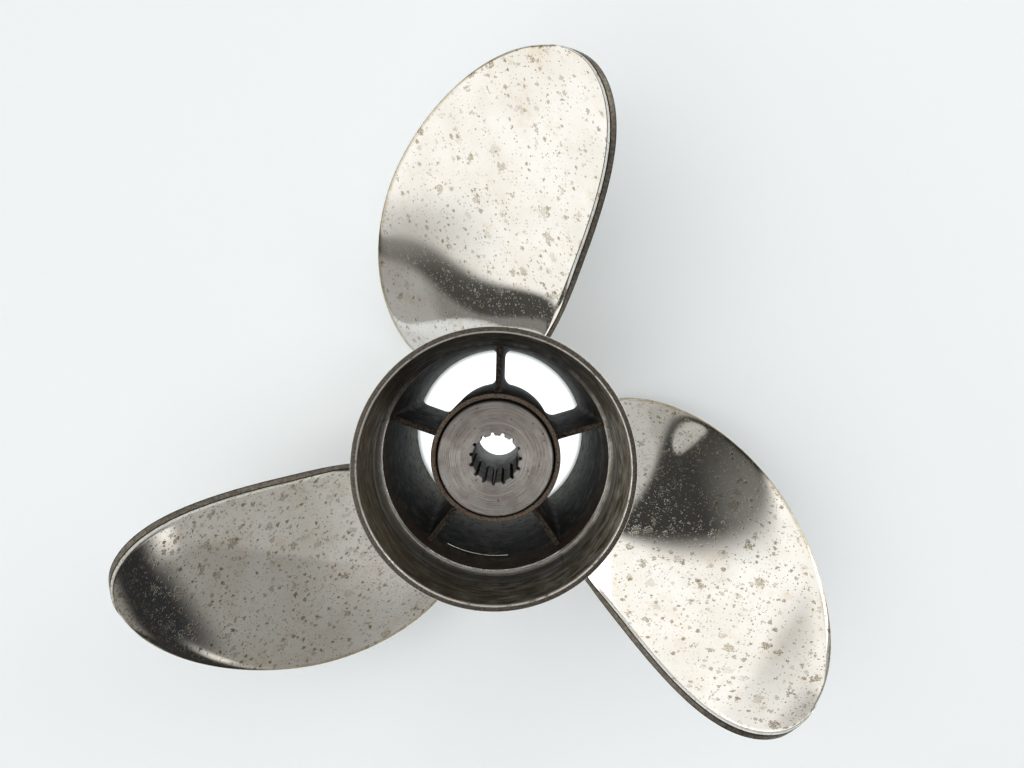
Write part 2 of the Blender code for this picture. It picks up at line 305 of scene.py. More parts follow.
def makeCastSkinGroup(holeSpots):
    group, given, wanted = newGroup("cast skin", [("Place", "Vector", None), ("Lump", "Float", 5.0)],
                                    ["Height", "Hollow"])
    coarse = addNode(group, "TexNoise", {
        "Vector": given["Place"], "Scale": calc(group, "DIVIDE", 1.0, given["Lump"]),
        "Detail": castSkin.lumpDetail, "Roughness": castSkin.lumpRoughness})
    holes = spread(group, holeSpots, given["Place"], castSkin.holes)["Mask"]
    height = scaled(group, noise(group, given["Place"], *castSkin.grain), castSkin.grainHeight, coarse)
    group.links.new(scaled(group, holes, castSkin.holeHeight, height), wanted["Height"])
    group.links.new(larger(group, holes, step(group, coarse, *castSkin.hollow)), wanted["Hollow"])
    return group


# places a spots group: setting holds spacing and largest radius in mm, share kept and raggedness
def spread(tree, group, place, setting, kept=None):
    cell, radius, share, ragged = setting
    return useGroup(tree, group, Place=place, Cell=cell, Radius=radius, Kept=kept or share, Ragged=ragged)


# a mask of spots whose strength varies from spot to spot
def toned(tree, group, strengths):
    return times(tree, group["Mask"], step(tree, group["Tone"], 0, 1, *strengths))


surfaceSpots = makeSpotsGroup("spots on a sheet", "2D")
solidSpots = makeSpotsGroup("spots through a solid", "3D")
hairlinesGroup = makeHairlinesGroup()
castSkinGroup = makeCastSkinGroup(solidSpots)


# polished stainless steel of blades and outer hub

polish = Settings(
    clean=(0.82, 0.81, 0.785), hazed=(0.69, 0.655, 0.60), speck=(0.24, 0.175, 0.092),
    stain=(0.43, 0.36, 0.225), stainDark=(0.175, 0.13, 0.07), rust=(0.62, 0.46, 0.28),
    # the darkest ground colour paints a dark reflection along the rounded rims of the trailing edge's end
    # face
    ground=(0.28, 0.25, 0.21), groundDark=(0.12, 0.105, 0.085), groundRim=(0.035, 0.03, 0.025),
    haze=(34, 5.0, 0.6, 0.36, 0.66), crowd=(11, 4.0, 0.65, 0.42, 0.72, 0.0, 0.45),
    crumbs=(0.55, 2.0, 0.55, 0.42, 0.6), tint=(13, 5.0, 0.7, 0.52, 0.8, 0.0, 0.5),
    mottle=(1.4, 4.0, 0.65, 0.3, 0.7), tintShift=(70, 0, 0),
    dots=(1.5, 0.42, 0.5, 0.5), specks=(3.1, 1.1, 0.5, 0.75), stains=(9.0, 2.5, 0.55, 0.9),
    dotTones=(0.25, 0.8), speckTones=(0.3, 0.85), stainTones=(0.3, 0.9), speckColours=(0.3, 0.9),
    # smears of grime: size, detail and roughness, and how they show where it is dirty and at the rim
    grime=(3.2, 5.0, 0.75), grimeShift=(0, 90, 0), grimeEdge=(0.5, 0.62), grimeDirt=(0.6, 1.3),
    grimeShare=0.5, grimeDull=0.4, rimGrime=(0.3, 0.6, 0.35, 0.9), edgeWidth=4.0,
    # how much each thing grows with the dirt, and what it has without any
    crowdDirt=(0.5, 0.12), stainsDirt=(0.4, 0.35), hatchDirt=(0.2, 0.06),
    darkDirt=(0.2, 0.9, 0.85, 1.1), hazeDirt=0.45, hazeShare=0.55, outlineShare=0.75, crumbShare=(0.5, 0.5),
    hatch=dict(Turn=0.9, Width=0.35, Length=5.0), hatchScratch=0.6,
    lines=dict(Turn=0.35, Width=0.2, Length=45.0), scratchDirt=(0.2, 0.8),
    groundRimEdge=(0.97, 0.8), groundEdge=(0.1, 0.45), hubDirt=0.5, hubRadius=56.0,
    roughness=0.04, hazeRoughness=0.03, scratchRoughness=0.03, dullRoughness=0.12,
    groundRoughness=0.5, dullMetallic=(-0.05, 1.0), pitDepth=-1.0, stainDepth=(-0.4, -0.2),
    bump=(0.25, 0.08),
)


# Where a blade's pattern lies: place on the blade's own sheet in mm, how dirty it is, its ground end face,
# and how near its leading edge is.
def bladeSheet(tree):
    sheet, margins = (splitUp(tree, addNode(tree, "Attribute", out="Vector", attribute_name=name))
                      for name in ("sheet", "margins"))
    rim = step(tree, margins[1], polish.edgeWidth, 0.0)
    return joinUp(tree, sheet[0], sheet[1]), sheet[2], margins[2], rim


# the same for the round hub, unrolled at its outer radius
def hubSheet(tree):
    parts = splitUp(tree, placeInMm(tree))
    around = times(tree, calc(tree, "ARCTAN2", parts[1], parts[0]), polish.hubRadius)
    return joinUp(tree, around, parts[2]), polish.hubDirt, 0.0, 0.0


def makePolished(name, makeSheet):
    material, tree, shader = newMaterial(name)
    place, dirt, ground, rim = makeSheet(tree)
    haze, crumbs = (patchy(tree, place, polish[key]) for key in ("haze", "crumbs"))
    crowd = calc(tree, "ADD", patchy(tree, place, polish.crowd), scaled(tree, dirt, *polish.crowdDirt))
    dots = spread(tree, surfaceSpots, place, polish.dots, crowd)
    specks = spread(tree, surfaceSpots, place, polish.specks, crowd)
    stains = spread(tree, surfaceSpots, place, polish.stains, scaled(tree, dirt, *polish.stainsDirt))
    # base metal, hazed in clouds and more where it is dirty
    hazed = scaled(tree, dirt, polish.hazeDirt, times(tree, haze, polish.hazeShare))
    colour = mix(tree, hazed, polish.clean, polish.hazed)
    hatch = useGroup(tree, hairlinesGroup, Place=place, **polish.hatch)["Mask"]
    hatched = times(tree, hatch, scaled(tree, dirt, *polish.hatchDirt))
    colour = mix(tree, hatched, colour, polish.stainDark)
    tint = patchy(tree, vectorCalc(tree, "ADD", place, polish.tintShift), polish.tint)
    colour = mix(tree, tint, colour, polish.rust)
    smears = noise(tree, vectorCalc(tree, "ADD", place, polish.grimeShift), *polish.grime)
    grime = times(tree, step(tree, smears, *polish.grimeEdge), step(tree, dirt, *polish.grimeDirt))
    colour = mix(tree, times(tree, grime, polish.grimeShare), colour, polish.stain)
    rimDirt = times(tree, rim, step(tree, smears, *polish.rimGrime))
    colour = mix(tree, rimDirt, colour, polish.stain)
    # ragged stains with a dark outline and crumbs inside
    inStain = times(tree, larger(tree, stains["Rim"], crumbs), polish.outlineShare)
    stainColour = mix(tree, inStain, polish.stain, polish.stainDark)
    stained = times(tree, toned(tree, stains, polish.stainTones), scaled(tree, crumbs, *polish.crumbShare))
    colour = mix(tree, stained, colour, stainColour)
    dark = larger(tree, toned(tree, dots, polish.dotTones), toned(tree, specks, polish.speckTones))
    dark = times(tree, dark, step(tree, dirt, *polish.darkDirt))
    speckTone = step(tree, specks["Tone"], *polish.speckColours)
    colour = mix(tree, dark, colour, mix(tree, speckTone, polish.stainDark, polish.speck))
    # the trailing edge's end face is ground rough, with a painted dark reflection along both its rounded rims
    mottle = patchy(tree, placeInMm(tree), polish.mottle)
    groundColour = mix(tree, mottle, polish.groundDark, polish.ground)
    groundRim = step(tree, ground, *polish.groundRimEdge)
    groundColour = mix(tree, groundRim, groundColour, polish.groundRim)
    ground = step(tree, ground, *polish.groundEdge)
    dull = larger(tree, larger(tree, stained, dark), times(tree, grime, polish.grimeDull))
    # fine hatching from hand polishing, and a few longer hairlines
    lines = useGroup(tree, hairlinesGroup, Place=place, **polish.lines)["Mask"]
    scratches = times(tree, scaled(tree, hatch, polish.hatchScratch, lines),
                      step(tree, dirt, *polish.scratchDirt))
    rough = scaled(tree, haze, polish.hazeRoughness, polish.roughness)
    rough = scaled(tree, scratches, polish.scratchRoughness, rough)
    rough = mixValue(tree, dull, rough, polish.dullRoughness)
    stainHeight = times(tree, stained, scaled(tree, crumbs, *polish.stainDepth))
    feed(tree, shader, {
        "Base Color": mix(tree, ground, colour, groundColour),
        "Metallic": scaled(tree, dull, *polish.dullMetallic),
        "Roughness": mixValue(tree, ground, rough, polish.groundRoughness),
        "Normal": bump(tree, polish.bump, scaled(tree, dark, polish.pitDepth, stainHeight))})
    return material


# the ring's inside: brown exhaust stain on the cone with painted shade at its top, bottom and left side, a
# turned seat in five lengths, a worn lip with a painted highlight

stain = Settings(
    olive=(0.088, 0.07, 0.037), rust=(0.11, 0.062, 0.02), bare=(0.60, 0.555, 0.48),
    seat=(0.27, 0.26, 0.24), dark=(0.02, 0.017, 0.013), rim=(0.135, 0.117, 0.098),
    rimPits=(0.055, 0.046, 0.038), drawnOut=14.0,  # mm for a radian, so that streaks run round the ring
    streaks=(2.4, 5.0, 0.7, 0.35, 0.7), broad=(16, 3.0, 0.55, 0.35, 0.68, 0.0, 0.4),
    rustSpots=(1.1, 4.0, 0.75, 0.54, 0.66), rimNoise=(0.9, 4.0, 0.7, 0.35, 0.65),
    wear=(3, 4.0, 0.55, 0.25, 0.5), turnedLines=(0.5, 3.0, 0.55, 0.3, 0.7), turnedStretch=(0.05, 0.05, 1),
    # from one place to another in mm, and the strength at each
    # the lip's worn metal and painted highlight are kept to the ring's lower side
    # the olive stain grows towards the left, partly as painted shade on that side of the cone
    leftward=(35, -35, 0.05, 0.7), rusty=(20, -40, 0.15, 0.85), lipSide=(40, 10),
    # painted shade at the top and at the bottom of the cone, and how the streaks break it up
    paintedShadeTop=(12, 48, 0.0, 0.92), paintedShadeBottom=(-20, -52, 0.0, 0.65), sootStreaks=(1.0, 0.8),
    # mm from the seat's ends, the seat's floor, the rear rim and the mouth
    seatEdge=0.2, shoulder=((-0.3, 0.1), (1.1, 0.3)), lipEdge=(0.1, -0.4),
    rimEdge=(-0.6, -0.3), innerEdge=(0.7, 0.2), innerStart=(-1.1, -0.8),
    lineShare=0.5, seatShare=0.75, shoulderShare=0.7, seamWidth=0.45, seamCore=0.4,
    metallic=0.6, roughness=(0.5, 0.38), wornRoughness=0.22,
    lineHeight=0.4, rustHeight=-0.6, seamHeight=-3.0, bump=(0.4, 0.2),
)


# a smooth step between two distances from a base
def stepFrom(tree, value, base, distances):
    return step(tree, value, base + distances[0], base + distances[1])


def makeStained():
    material, tree, shader = newMaterial("stained ring steel")
    place = placeInMm(tree)
    x, y, height = splitUp(tree, place)
    angle = calc(tree, "ARCTAN2", y, x)
    unrolled = joinUp(tree, times(tree, angle, stain.drawnOut), height)
    streaks = patchy(tree, unrolled, stain.streaks)
    colour = mix(tree, streaks, stain.olive, stain.bare)
    # olive stain in broad patches and more of it towards the left, which also paints shade on the cone's left
    # side
    olive = larger(tree, patchy(tree, place, stain.broad), step(tree, x, *stain.leftward))
    colour = mix(tree, olive, colour, stain.olive)
    rustSpots = patchy(tree, unrolled, stain.rustSpots)
    colour = mix(tree, times(tree, rustSpots, step(tree, x, *stain.rusty)), colour, stain.rust)
    # seat, with a thin dark seam in line with each rib and a dark shoulder above
    edge = stain.seatEdge
    onSeat = times(tree, stepFrom(tree, height, ring.seatFloor, (-edge, edge)),
                   stepFrom(tree, height, ring.seatTop, (edge, -edge)))
    turnedLines = patchy(tree, vectorCalc(tree, "MULTIPLY", place, stain.turnedStretch), stain.turnedLines)
    seat = mix(tree, times(tree, turnedLines, stain.lineShare), stain.seat, stain.dark)
    colour = mix(tree, times(tree, onSeat, stain.seatShare), colour, seat)
    fromRib = calc(tree, "SUBTRACT", times(tree, angle, 180 / math.pi), rib.firstAngle)
    fromRib = calc(tree, "PINGPONG", fromRib, 180 / rib.count)
    seam = step(tree, fromRib, stain.seamWidth, stain.seamWidth * stain.seamCore)
    seam = times(tree, seam, onSeat)
    shoulder = times(tree, *(stepFrom(tree, height, ring.seatTop, pair) for pair in stain.shoulder))
    seams = larger(tree, seam, times(tree, shoulder, stain.shoulderShare))
    colour = mix(tree, seams, colour, stain.dark)
    # painted shade: the cone is darkened most at the top and a little at the bottom, broken up by the streaks
    paintedShade = calc(tree, "ADD", *(step(tree, y, *stain[key]) for key in ("paintedShadeTop", "paintedShadeBottom")))
    paintedShade = times(tree, paintedShade, step(tree, streaks, 0, 1, *stain.sootStreaks))
    colour = mix(tree, paintedShade, colour, stain.dark)
    # the rim's end face, and worn bare metal at the mouth and the lip, which also paints a highlight along
    # these edges; the lip's is kept to its lower side
    rimColour = mix(tree, patchy(tree, place, stain.rimNoise), stain.rim, stain.rimPits)
    colour = mix(tree, stepFrom(tree, height, ring.length, stain.rimEdge), colour, rimColour)
    mouth = times(tree, stepFrom(tree, shaftDistance(tree, place), ring.mouth, stain.innerEdge),
                  stepFrom(tree, height, ring.length, stain.innerStart))
    lip = times(tree, stepFrom(tree, height, ring.seatFloor, stain.lipEdge), step(tree, y, *stain.lipSide))
    wornAndHighlight = times(tree, larger(tree, lip, mouth), patchy(tree, place, stain.wear))
    rough = step(tree, streaks, 0, 1, *stain.roughness)
    skin = scaled(tree, turnedLines, stain.lineHeight, scaled(tree, rustSpots, stain.rustHeight, streaks))
    feed(tree, shader, {
        "Base Color": mix(tree, wornAndHighlight, colour, polish.hazed), "Metallic": stain.metallic,
        "Roughness": mixValue(tree, wornAndHighlight, rough, stain.wornRoughness),
        "Normal": bump(tree, stain.bump, scaled(tree, seam, stain.seamHeight, skin))})
    return material


# rough cast steel inside the hub

cast = Settings(
    dark=(0.005, 0.005, 0.004), grey=(0.085, 0.083, 0.064), brown=(0.022, 0.013, 0.008),
    rust=(0.045, 0.026, 0.014), edge=(0.21, 0.17, 0.135), web=(0.12, 0.10, 0.082),
    edgePits=(0.03, 0.02, 0.015), edgeRust=(0.19, 0.095, 0.05), lump=3.5,
    # heights in mm at which black and brown set in, moved up and down by a noise
    black=(30, 66, 0.25, 0.95), brownStart=(82, 94, 0.0, 0.85), wobble=(9, 3.0), wobbleReach=16.0,
    broad=(7, 6.0, 0.75, 0.41, 0.52), rustNoise=(2.5, 4.0), hollowShare=0.6,
    # edges that look aft
    aft=(0.45, 0.85), flecks=(0.8, 4.0, 0.7), tubePits=(0.5, 0.62), webPits=(0.4, 0.6),
    tubeEdge=(0.8, 0.2), rustPatches=(3.4, 3.0, 0.55, 0.56, 0.68, 0.0, 0.7), rustFlecks=(0.3, 0.5),
    edgeMetallic=0.6, specular=0.1, roughness=(0.7, 0.85), bump=(0.5, 0.5),
)


def makeCast():
    material, tree, shader = newMaterial("rough cast steel")
    place = placeInMm(tree)
    skin = useGroup(tree, castSkinGroup, Place=place, Lump=cast.lump)
    level = scaled(tree, noise(tree, place, *cast.wobble), cast.wobbleReach,
                   calc(tree, "SUBTRACT", splitUp(tree, place)[2], cast.wobbleReach / 2))
    # grey deep inside, black and pitted further aft, brown under the ring
    black = times(tree, patchy(tree, place, cast.broad), step(tree, level, *cast.black))
    colour = mix(tree, black, cast.grey, cast.dark)
    colour = mix(tree, times(tree, skin["Hollow"], cast.hollowShare), colour, cast.dark)
    brown = step(tree, level, *cast.brownStart)
    rusted = mix(tree, noise(tree, place, *cast.rustNoise), cast.brown, cast.rust)
    colour = mix(tree, brown, colour, rusted)
    # edges that look aft are rubbed brighter, with rust and black pits
    aft = splitUp(tree, addNode(tree, "NewGeometry", out="Normal"))[2]
    rubbed = step(tree, aft, *cast.aft)
    flecks = noise(tree, place, *cast.flecks)
    tube, web = (mix(tree, step(tree, flecks, *cast[pits]), cast[base], cast.edgePits)
                 for pits, base in (("tubePits", "edge"), ("webPits", "web")))
    onTube = stepFrom(tree, shaftDistance(tree, place), innerHub.radius, cast.tubeEdge)
    edge = mix(tree, onTube, web, tube)
    rusty = times(tree, patchy(tree, place, cast.rustPatches), step(tree, flecks, *cast.rustFlecks))
    edge = mix(tree, times(tree, rusty, onTube), edge, cast.edgeRust)
    feed(tree, shader, {
        "Base Color": mix(tree, rubbed, colour, edge), "Metallic": times(tree, rubbed, cast.edgeMetallic),
        "Specular IOR Level": cast.specular,
        "Roughness": step(tree, skin["Hollow"], 0, 1, *cast.roughness),
        "Normal": bump(tree, cast.bump, skin["Height"])})
    return material


# turned steel of the flange

turning = Settings(
    steel=(0.62, 0.59, 0.56), tint=(0.50, 0.44, 0.42), dark=(0.12, 0.11, 0.10),
    groove=(0.13, 0.13, 0.125), blotch=(7, 4.0, 0.6, 0.35, 0.7), tintTop=(2, 22, 0.0, 0.55),
    # turning marks: their width in mm, how often they change round the flange, and their noise
    markWidth=0.16, markTurn=1.4, markNoise=(3.0, 0.6), markDark=(0.42, 0.66, 0.0, 0.7),
    bandWidth=1.3, bandTurn=0.5, bandShift=3.0, bandDetail=2.0, bandHeight=1.5,
    wearRadius=17.0, wearEdge=(0.7, 0.1), wear=(14, 2.0, 0.55, 0.4, 0.6, 0.0, 0.5),
    pits=(2.4, 0.7, 0.6, 0.3), pitShare=0.6, pitHeight=-1.0, boreEdge=(-0.2, -0.7),
    metallic=0.9, anisotropic=0.85, anisotropicTurn=0.25, roughness=(0.46, 0.56), bump=(0.6, 0.16),
)


def makeTurned():
    material, tree, shader = newMaterial("turned flange steel")
    place = placeInMm(tree)
    x, y, height = splitUp(tree, place)
    radius = shaftDistance(tree, place)
    angle = calc(tree, "ARCTAN2", y, x)
    markPlace = joinUp(tree, calc(tree, "DIVIDE", radius, turning.markWidth),
                       times(tree, angle, turning.markTurn))
    marks = noise(tree, markPlace, 1.0, *turning.markNoise)
    bandPlace = joinUp(tree, calc(tree, "DIVIDE", radius, turning.bandWidth),
                       times(tree, angle, turning.bandTurn), turning.bandShift)
    bands = noise(tree, bandPlace, 1.0, turning.bandDetail)
    blotch = patchy(tree, place, turning.blotch)
    colour = mix(tree, blotch, turning.steel, turning.tint)
    colour = mix(tree, step(tree, y, *turning.tintTop), colour, turning.tint)
    colour = mix(tree, step(tree, marks, *turning.markDark), colour, turning.dark)
    # a ring of wear from the washer, pits, and dark grooves
    fromWear = calc(tree, "ABSOLUTE", calc(tree, "SUBTRACT", radius, turning.wearRadius))
    wear = times(tree, step(tree, fromWear, *turning.wearEdge), patchy(tree, place, turning.wear))
    colour = mix(tree, wear, colour, polish.hazed)
    pits = spread(tree, solidSpots, place, turning.pits)["Mask"]
    colour = mix(tree, times(tree, pits, turning.pitShare), colour, turning.dark)
    inBore = stepFrom(tree, height, sleeve.rear, turning.boreEdge)
    colour = mix(tree, inBore, colour, mix(tree, blotch, turning.groove, turning.dark))
    relief = scaled(tree, pits, turning.pitHeight, scaled(tree, bands, turning.bandHeight, marks))
    feed(tree, shader, {
        "Base Color": colour, "Metallic": turning.metallic, "Anisotropic": turning.anisotropic,
        "Anisotropic Rotation": turning.anisotropicTurn,
        "Tangent": addNode(tree, "Tangent", direction_type="RADIAL", axis="Z"),
        "Roughness": step(tree, blotch, 0, 1, *turning.roughness),
        "Normal": bump(tree, turning.bump, relief)})
    return material


rubber = Settings(
    dark=(0.018, 0.018, 0.018), pale=(0.045, 0.043, 0.04), bloom=(6, 4.0, 0.55, 0.35, 0.7),
    roughness=(0.6, 0.85), grain=0.8, bump=(0.3, 0.2),
)


def makeRubber():
    material, tree, shader = newMaterial("black rubber")
    place = placeInMm(tree)
    bloom = patchy(tree, place, rubber.bloom)
    feed(tree, shader, {
        "Base Color": mix(tree, bloom, rubber.dark, rubber.pale),
        "Roughness": step(tree, bloom, 0, 1, *rubber.roughness),
        "Normal": bump(tree, rubber.bump, noise(tree, place, rubber.grain))})
    return material


# barrel

barrel = Settings(
    length=105, frontRadius=54.5, rearRadius=56.6, frontBore=50.3, rearBore=53.6,
    mouthChamfer=1.5, footChamfer=0.75, outerSteps=6, boreSteps=12,
)


def barrelRadius(height):
    return blend(barrel.frontRadius, barrel.rearRadius, height / barrel.length)


def barrelBore(height):
    return blend(barrel.frontBore, barrel.rearBore, height / barrel.length)


def makeBarrel():
    up = [barrel.length * k / barrel.outerSteps for k in range(1, barrel.outerSteps + 1)]
    down = [barrel.length * k / barrel.boreSteps for k in range(barrel.boreSteps, 0, -1)]
    outline = [(barrel.frontBore + barrel.mouthChamfer, 0),
               (barrel.frontRadius - barrel.footChamfer, 0), (barrel.frontRadius, barrel.footChamfer)]
    outline += [(barrelRadius(height), height) for height in up]
    outline += [(barrelBore(height), height) for height in down]
    outline += [(barrel.frontBore, barrel.mouthChamfer)]
    bm = turnedPiece(outline)
    polishOutside(bm)
    return finishPiece("barrel_casting", bm, [castSteel, hubSteel], ["barrel"])


# a thin line left by the mould, low on the barrel's wall

castLine = Settings(height=82, thickness=0.9, start=242, end=276, segments=8, steps=24)


def makeCastLine():
    bm = bmesh.new()
    bmesh.ops.create_circle(bm, segments=castLine.segments, radius=castLine.thickness / 2 * mm, cap_ends=True)
    upright = Matrix.Rotation(math.pi / 2, 4, "X")
    wall = Matrix.Translation((barrelBore(castLine.height) * mm, 0, castLine.height * mm))
    start = Matrix.Rotation(math.radians(castLine.start), 4, "Z")
    bmesh.ops.transform(bm, matrix=start @ wall @ upright, verts=bm.verts)
    bmesh.ops.spin(bm, geom=bm.verts[:] + bm.edges[:] + bm.faces[:], cent=(0, 0, 0), axis=(0, 0, 1),
                   angle=math.radians(castLine.end - castLine.start), steps=castLine.steps)
    return finishPiece("cast_line", bm, [hubSteel], [])


# flared ring

ring = Settings(
    length=138.5, radius=60.8, mouth=58, seat=54.5, seatTop=119.5, seatFloor=109,
    lip=52.9, lipChamfer=0.6, rimRound=0.8, mouthRound=0.4, seatRound=0.3,
    flareSteps=8, flareCurve=1.6,
)


def makeRing():
    start, top, steps = barrel.length, ring.length, ring.flareSteps
    outline = [(blend(barrel.rearRadius, ring.radius, (k / steps) ** ring.flareCurve),
                blend(start, top, k / steps)) for k in range(steps + 1)]
    outline += [(ring.mouth, top), (ring.seat, ring.seatTop), (ring.seat, ring.seatFloor),
                (ring.lip, ring.seatFloor), (ring.lip, start)]
    # rear rim, mouth, upper end of the seat, lip
    rounding = [(steps, ring.rimRound), (steps + 1, ring.mouthRound), (steps + 2, ring.seatRound),
                (steps + 4, ring.lipChamfer)]
    bm = turnedPiece(outline, rounding=rounding)
    polishOutside(bm)
    return finishPiece("flared_ring_turned", bm, [ringSteel, hubSteel], ["flared_ring"])


# inner hub and rubber

innerHub = Settings(front=9, rear=104.8, radius=30.5, bore=28, round=0.7)
bushing = Settings(front=16, rear=101, bore=17.2, radius=27.8, round=2, steps=96)


# a plain tube's outline, whose corners run from the front end of the bore round to its rear end
def tubeOutline(tube):
    return [(tube.bore, tube.front), (tube.radius, tube.front), (tube.radius, tube.rear),
            (tube.bore, tube.rear)]


def makeInnerHub():
    bm = turnedPiece(tubeOutline(innerHub), rounding=[(k, innerHub.round) for k in range(4)])
    return finishPiece("inner_hub_casting", bm, [castSteel], ["inner_hub"])


def makeBushing():
    bm = turnedPiece(tubeOutline(bushing), bushing.steps, [(k, bushing.round) for k in (1, 2)])
    return finishPiece("rubber_bushing_moulded", bm, [blackRubber], ["rubber_bushing"])


# drive sleeve

sleeve = Settings(
    front=9, rear=107.5, flangeThickness=6, flangeRadius=27, radius=17, relief=12.7,
    chamfer=0.6, splines=15, splineLength=42, minor=10.9, major=12.35,
    firstAngle=1.2, mouthHalf=5.4, floorHalf=3.0, floorShare=0.7, splineSegments=24,
    splineChamfer=0.35, faceStep=3, reliefGap=0.3, sharpAngle=30,
)


# how deep the groove is at an angle from its middle, 0 at the bore and 1 at the floor
def grooveDepth(offset):
    floor = sleeve.mouthHalf - sleeve.floorHalf * sleeve.floorShare
    return ease(sleeve.mouthHalf - abs(offset), 0, floor)


def shapeSplines(verts):
    pitch = 360 / sleeve.splines
    for v in verts:
        angle = math.degrees(math.atan2(v.co.y, v.co.x)) - sleeve.firstAngle
        offset = (angle + pitch / 2) % pitch - pitch / 2
        radius = blend(sleeve.minor, sleeve.major, grooveDepth(offset)) * mm
        v.co.xy = v.co.xy.normalized() * radius


def extrudeRing(bm, edges, radius=None, rise=0):
    out = bmesh.ops.extrude_edge_only(bm, edges=edges)["geom"]
    verts = [item for item in out if isinstance(item, bmesh.types.BMVert)]
    for v in verts:
        v.co.z += rise * mm
        if radius:
            v.co.xy = v.co.xy.normalized() * radius * mm
    return [item for item in out if isinstance(item, bmesh.types.BMEdge)], verts


def makeSleeve():
    radius, flange, relief = sleeve.radius, sleeve.flangeRadius, sleeve.relief
    front, chamfer, mouth = sleeve.front, sleeve.chamfer, sleeve.splineChamfer
    splineStart = sleeve.rear - sleeve.splineLength
    flangeStart = sleeve.rear - sleeve.flangeThickness
    bm = bmesh.new()
    bmesh.ops.create_circle(bm, cap_ends=False, segments=sleeve.splines * sleeve.splineSegments,
                            radius=sleeve.minor * mm)
    for v in bm.verts:
        v.co.z = splineStart * mm
    first = list(bm.edges)
    shapeSplines(bm.verts)
    edges = extrudeRing(bm, first, rise=sleeve.splineLength - mouth)[0]
    edges, mouthVerts = extrudeRing(bm, edges, rise=mouth)
    for v in mouthVerts:
        v.co.xy = v.co.xy.normalized() * (v.co.xy.length + mouth * mm)
    # on round the outside, as radius and rise of each step: flange, sleeve, front end, relief
    for reach, rise in ((sleeve.minor + sleeve.faceStep, 0), (flange - chamfer, 0), (flange, -chamfer),
                        (flange, chamfer - sleeve.flangeThickness), (radius, 0),
                        (radius, front + chamfer - flangeStart), (radius - chamfer, -chamfer),
                        (relief + chamfer, 0), (relief, chamfer),
                        (relief, splineStart - front - chamfer - sleeve.reliefGap)):
        edges = extrudeRing(bm, edges, radius=reach, rise=rise)[0]
    bmesh.ops.bridge_loops(bm, edges=edges + first)
    bmesh.ops.recalc_face_normals(bm, faces=bm.faces)
    return finishPiece("drive_sleeve_splined", bm, [turnedSteel], ["drive_sleeve"],
                       sleeve.sharpAngle)


# ribs

rib = Settings(
    count=5, firstAngle=88.3, front=12, rear=94, frontThickness=4.6, rearThickness=2.6,
    frontFillet=5, rearFillet=1.0, rearRound=0.7, gap=0.3, sharpCorner=0.9,
    cuts=((0, 31), (2, 23), (1, 5)),  # along the radius, up the shaft, across the rib
)


def ribPoint(x, y, z):
    height = blend(rib.front, rib.rear, z + 0.5)
    inner, outer = innerHub.radius - rib.gap, barrelBore(height) + rib.gap
    radius = blend(inner, outer, (1 - math.cos(math.pi * (x + 0.5))) / 2)
    fillet = blend(rib.frontFillet, rib.rearFillet, (z + 0.5) ** 2)
    near = min(max(min(radius - inner, outer - radius) / fillet, 0), 1)
    thickness = blend(rib.frontThickness, rib.rearThickness, z + 0.5)
    across = y * 2 * (thickness / 2 + fillet * (1 - math.sqrt(near * (2 - near))))
    return Vector((math.sqrt(max(radius * radius - across * across, 1)), across, height)) * mm


def makeRib(number):
    bm = bmesh.new()
    bmesh.ops.create_cube(bm, size=1)
    for axis, cuts in rib.cuts:
        whole = [e for e in bm.edges if abs(e.verts[0].co[axis] - e.verts[1].co[axis]) > 0.5]
        bmesh.ops.subdivide_edges(bm, edges=whole, cuts=cuts, use_grid_fill=True)
    for v in bm.verts:
        v.co = ribPoint(*v.co)
    sharp = [e for e in bm.edges if len(e.link_faces) == 2 and e.calc_face_angle(0) > rib.sharpCorner]
    atEnds = [e for e in sharp if all(
        min(abs(v.co.z - rib[end] * mm) for end in ("front", "rear")) < meshing.merge for v in e.verts)]
    roundEdges(bm, atEnds, rib.rearRound)
    angle = math.radians(rib.firstAngle + number * 360 / rib.count)
    bmesh.ops.transform(bm, matrix=Matrix.Rotation(angle, 4, "Z"), verts=bm.verts)
    node = f"rib_{number + 1}"
    return finishPiece(node + "_cast", bm, [castSteel], [node])


# blades

blade = Settings(
    count=3, angle=112.5, referenceHeight=29.6, pitch=-418, tip=187.775, tipFlat=0.01,
    rakeStart=60, rakeUnit=100, rake=(0.057, 0.684, -0.34),
    # outline: an oval in lengths and degrees, unrolled
    centreRadius=112.7, centreAlong=-44.3, halfLength=103.2, halfWidth=53.5, lean=-44.1,
    exponent=1.85, taper=-0.4, bulge=0.28, bend=-7.6, rootEaseRadius=82, rootEase=6,
    outlineSteps=1440,
    # thickness, and how it falls off along the radius and towards the edges
    rootThickness=8.5, tipThickness=3.4, thinning=0.8, leading=1.2, trailing=3.4, swell=0.7,
    fillet=7, filletSwell=3, rootCover=2.2, rootStart=54.2,
    cupWidth=3.4, cupHeight=1.3, cupStart=72, cupFull=105, cupFullChord=70,
    trailingSquareness=5, trailingRound=0.6, leadingRound=0.45, edgeInset=0.3, tipRound=1.6,
    chordCuts=64, spanCuts=120, trailingCuts=16, leadingCuts=8, filletRows=0.16,
    filletCrowding=1.3, probe=0.1, merge=2e-6, sharpAngle=70,
    # pattern: dirt of each blade, more of it at the tip, and room on the sheet for each blade
    dirt=(0.3, 0.85, 0.45), tipDirt=0.4, tipDirtStart=168, sheetWidth=400,
    endFaceSide=0.97, endFaceRim=0.5,
)


def signedPower(value, power):
    return math.copysign(abs(value) ** power, value)


